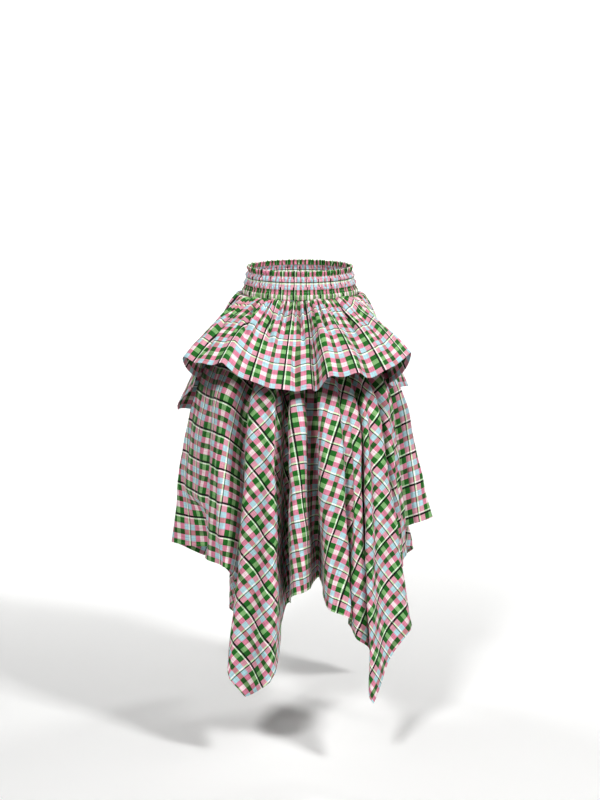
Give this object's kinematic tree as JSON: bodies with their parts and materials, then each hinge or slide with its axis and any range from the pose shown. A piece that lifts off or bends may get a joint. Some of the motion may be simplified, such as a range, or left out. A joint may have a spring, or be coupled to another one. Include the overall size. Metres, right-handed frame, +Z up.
{
  "type": "handkerchief skirt",
  "caption": "Checked handkerchief skirt with a gathered elastic waistband, a flared peplum and a square lower layer whose corners hang in long points.",
  "frame": {"origin": "centre of the waist opening, level with the middle of the waistband's slanted top edge", "axes": "+X towards the viewer's right in the picture, which is the wearer's left, +Y towards the wearer's back, +Z up; the front faces -Y"},
  "size_m": [0.6331, 0.5787, 0.9911],
  "materials": {
    "waistband": "gathered checked cotton",
    "peplum_front": "checked cotton",
    "peplum_back": "checked cotton",
    "skirt_front": "checked cotton",
    "skirt_back": "checked cotton"
  },
  "bodies": {
    "root": {"waistband": "waistband", "peplum_front": "peplum_front", "peplum_back": "peplum_back", "skirt_front": "skirt_front", "skirt_back": "skirt_back"}
  },
  "joints": []
}
